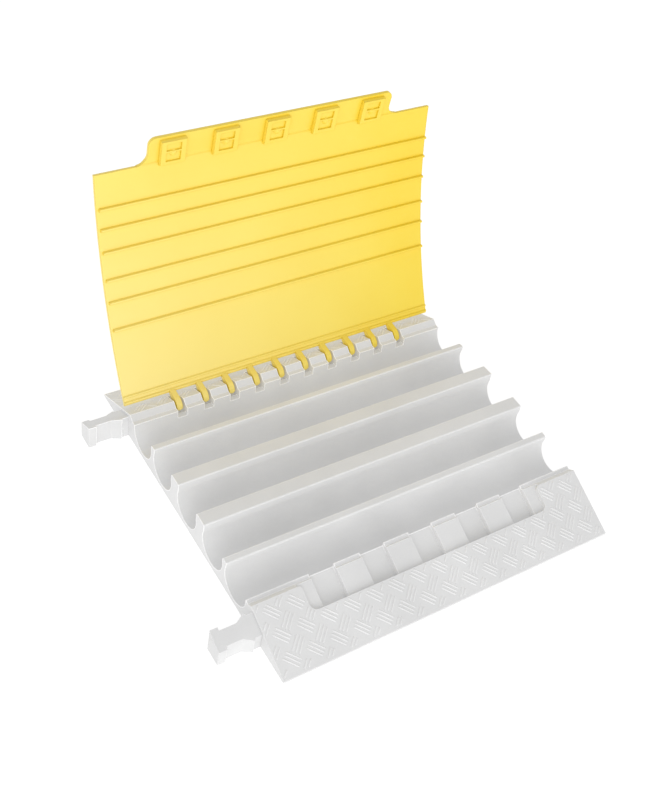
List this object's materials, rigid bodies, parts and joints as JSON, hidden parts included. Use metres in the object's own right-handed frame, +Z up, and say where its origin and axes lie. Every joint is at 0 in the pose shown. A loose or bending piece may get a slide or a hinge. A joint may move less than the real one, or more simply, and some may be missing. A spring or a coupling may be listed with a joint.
{
  "type": "cable protector ramp",
  "caption": "Square cable protector ramp: round cable channels between two treaded ramps, a hinged arched lid with latch pads and hooks on a rod, and loose dog-bone joiners.",
  "frame": {"origin": "centre of the base's footprint, on the ground", "axes": "+X along the cable channels, +Y towards the hinge side, +Z up"},
  "size_m": [0.5565, 0.5417, 0.377],
  "materials": {
    "base_rubber": "matt pale grey moulding",
    "lid_yellow": "satin yellow moulding",
    "rod_steel": "plain drawn bar",
    "plug_plastic": "matt black",
    "connector_rubber": "matt grey moulding"
  },
  "bodies": {
    "base": {"base": "base_rubber", "hinge_rod": "rod_steel", "rod_plug_left": "plug_plastic", "rod_plug_right": "plug_plastic"},
    "lid": {"lid": "lid_yellow"},
    "connector_front": {"connector_front": "connector_rubber"},
    "connector_rear": {"connector_rear": "connector_rubber"}
  },
  "joints": [
    {"name": "lid_hinge", "type": "hinge", "parent": "base", "child": "lid", "pos_m": [0, 0.173, 0.0282], "axis": [1, 0, 0], "range_deg": [0, 108.5]},
    {"name": "connector_front_drop", "type": "slide", "parent": "base", "child": "connector_front", "axis": [0, 0, -1], "range_m": [0, 0.045]},
    {"name": "connector_rear_drop", "type": "slide", "parent": "base", "child": "connector_rear", "axis": [0, 0, -1], "range_m": [0, 0.045]}
  ]
}
